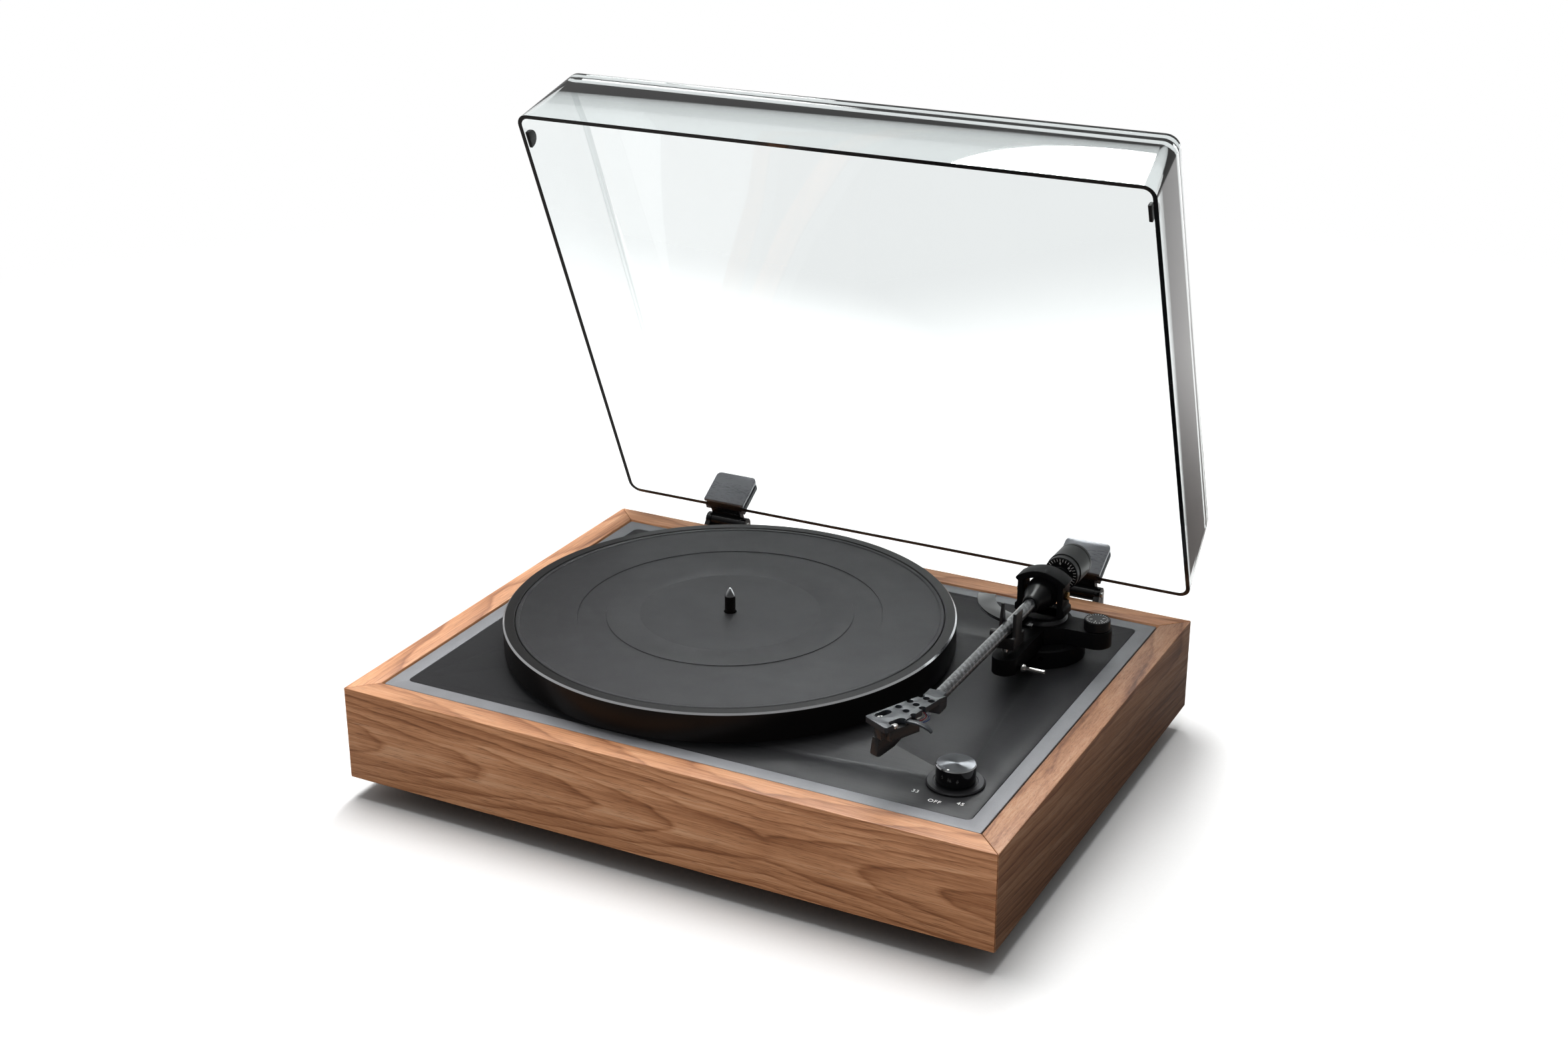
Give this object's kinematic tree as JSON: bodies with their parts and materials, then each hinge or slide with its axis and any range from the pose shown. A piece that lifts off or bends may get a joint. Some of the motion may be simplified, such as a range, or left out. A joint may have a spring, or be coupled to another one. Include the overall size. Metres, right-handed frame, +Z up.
{
  "type": "turntable record player",
  "caption": "Belt-drive turntable with a walnut veneer plinth, black deck and platter, carbon tone arm on its rest, and a hinged clear dust cover standing open.",
  "frame": {"origin": "middle of the bounding box's bottom face, with the cover open", "axes": "+X to the right along the front, the longest extent; +Z up, along the platter's spindle"},
  "size_m": [0.45, 0.4036, 0.4242],
  "materials": {
    "walnut": "satin veneer",
    "board": "raw",
    "silver_frame": "bead blasted",
    "deck_black": "brushed, black anodised",
    "satin_black": "satin",
    "black_plastic": "satin",
    "gloss_black": "gloss",
    "rubber": "matte",
    "steel": "turned",
    "brass": "turned",
    "chrome": "polished",
    "carbon": "woven carbon under clear resin",
    "circuit": "circuit board",
    "clear_acrylic": "clear"
  },
  "bodies": {
    "base": {"front_rail": "walnut", "right_rail": "walnut", "back_rail": "walnut", "left_rail": "walnut", "base_board": "board", "deck_board": "board", "top_frame": "silver_frame", "deck_plate": "deck_black", "foot_front_left": "black_plastic", "foot_rear_left": "black_plastic", "foot_front_right": "black_plastic", "foot_rear_right": "black_plastic", "spindle_bearing": "brass", "motor": "steel", "drive_belt": "rubber", "control_board": "circuit", "speed_switch": "black_plastic", "terminal_plate": "black_plastic", "left_output_jack": "brass", "right_output_jack": "brass", "ground_post": "brass", "power_inlet": "black_plastic", "knob_flange": "satin_black", "arm_pillar": "satin_black", "arm_base": "satin_black", "arm_collar": "satin_black", "rest_post": "chrome", "rest_clip": "black_plastic", "rest_prong": "black_plastic", "hinge_base_left": "gloss_black", "hinge_pin_left": "steel", "hinge_base_right": "gloss_black", "hinge_pin_right": "steel"},
    "platter_body": {"platter": "satin_black", "platter_mat": "rubber", "sub_platter": "black_plastic", "spindle": "steel"},
    "pulley_body": {"motor_pulley": "brass"},
    "knob_body": {"speed_knob": "satin_black"},
    "yoke_body": {"gimbal_yoke": "satin_black", "pivot_screw_left": "steel", "pivot_screw_right": "steel"},
    "arm_body": {"arm_bearing_block": "satin_black", "arm_tube": "carbon", "headshell": "satin_black", "cartridge_body": "black_plastic", "stylus_unit": "black_plastic", "cartridge_screw_left": "steel", "cartridge_screw_right": "steel"},
    "sleeve_body": {"counterweight_sleeve": "steel"},
    "weight_body": {"counterweight": "satin_black"},
    "tracking_dial_body": {"tracking_dial": "satin_black"},
    "antiskate_body": {"antiskate_dial": "satin_black"},
    "cue_body": {"cue_lever": "chrome"},
    "lift_body": {"lift_bar": "black_plastic"},
    "cover_body": {"dust_cover": "clear_acrylic", "hinge_clip_left": "gloss_black", "hinge_clip_right": "gloss_black", "cover_bumper_left": "rubber", "cover_bumper_right": "rubber"}
  },
  "joints": [
    {"name": "platter_spin", "type": "hinge", "parent": "base", "child": "platter_body", "pos_m": [-0.0388, -0.02706, 0], "axis": [0, 0, 1], "continuous": true},
    {"name": "pulley_spin", "type": "hinge", "parent": "base", "child": "pulley_body", "pos_m": [-0.1154, 0.03721, 0], "axis": [0, 0, 1], "continuous": true},
    {"name": "speed_turn", "type": "hinge", "parent": "base", "child": "knob_body", "pos_m": [0.171, -0.13616, 0.09], "axis": [0, 0, 1], "range_deg": [-45, 45]},
    {"name": "arm_yaw", "type": "hinge", "parent": "base", "child": "yoke_body", "pos_m": [0.15, 0.05474, 0.1205], "axis": [0, 0, 1], "range_deg": [-49, 0], "deforming": ["rest_prong"]},
    {"name": "arm_pitch", "type": "hinge", "parent": "yoke_body", "child": "arm_body", "pos_m": [0.15, 0.05474, 0.1205], "axis": [-1, 0, 0], "range_deg": [0, 10]},
    {"name": "sleeve_slide", "type": "slide", "parent": "arm_body", "child": "sleeve_body", "axis": [0, 1, 0], "range_m": [-0.0045, 0.0045]},
    {"name": "counterweight_turn", "type": "hinge", "parent": "sleeve_body", "child": "weight_body", "pos_m": [0.15, 0.05474, 0.1205], "axis": [0, 1, 0], "range_deg": [-720, 720]},
    {"name": "tracking_dial_turn", "type": "hinge", "parent": "weight_body", "child": "tracking_dial_body", "pos_m": [0.15, 0.05474, 0.1205], "axis": [0, 1, 0], "continuous": true},
    {"name": "antiskate_turn", "type": "hinge", "parent": "base", "child": "antiskate_body", "pos_m": [0.188, 0.05474, 0.102], "axis": [0, 0, 1], "range_deg": [-150, 150]},
    {"name": "cue_turn", "type": "hinge", "parent": "base", "child": "cue_body", "pos_m": [0.16115, -0.00676, 0.0942], "axis": [0, 1, 0], "range_deg": [0, 40.5]},
    {"name": "lift_slide", "type": "slide", "parent": "base", "child": "lift_body", "axis": [0, 0, 1], "range_m": [-0.005, 0]},
    {"name": "cover_swing", "type": "hinge", "parent": "base", "child": "cover_body", "pos_m": [0, 0.15424, 0.0794], "axis": [-1, 0, 0], "range_deg": [-67.2, 0]}
  ],
  "couplings": [
    {"joint": "pulley_spin", "follows": "platter_spin", "ratio": 7.5},
    {"joint": "sleeve_slide", "follows": "counterweight_turn", "m_per_rad": 0.00031831},
    {"joint": "cue_turn", "follows": "lift_slide", "rad_per_m": -139.63}
  ]
}
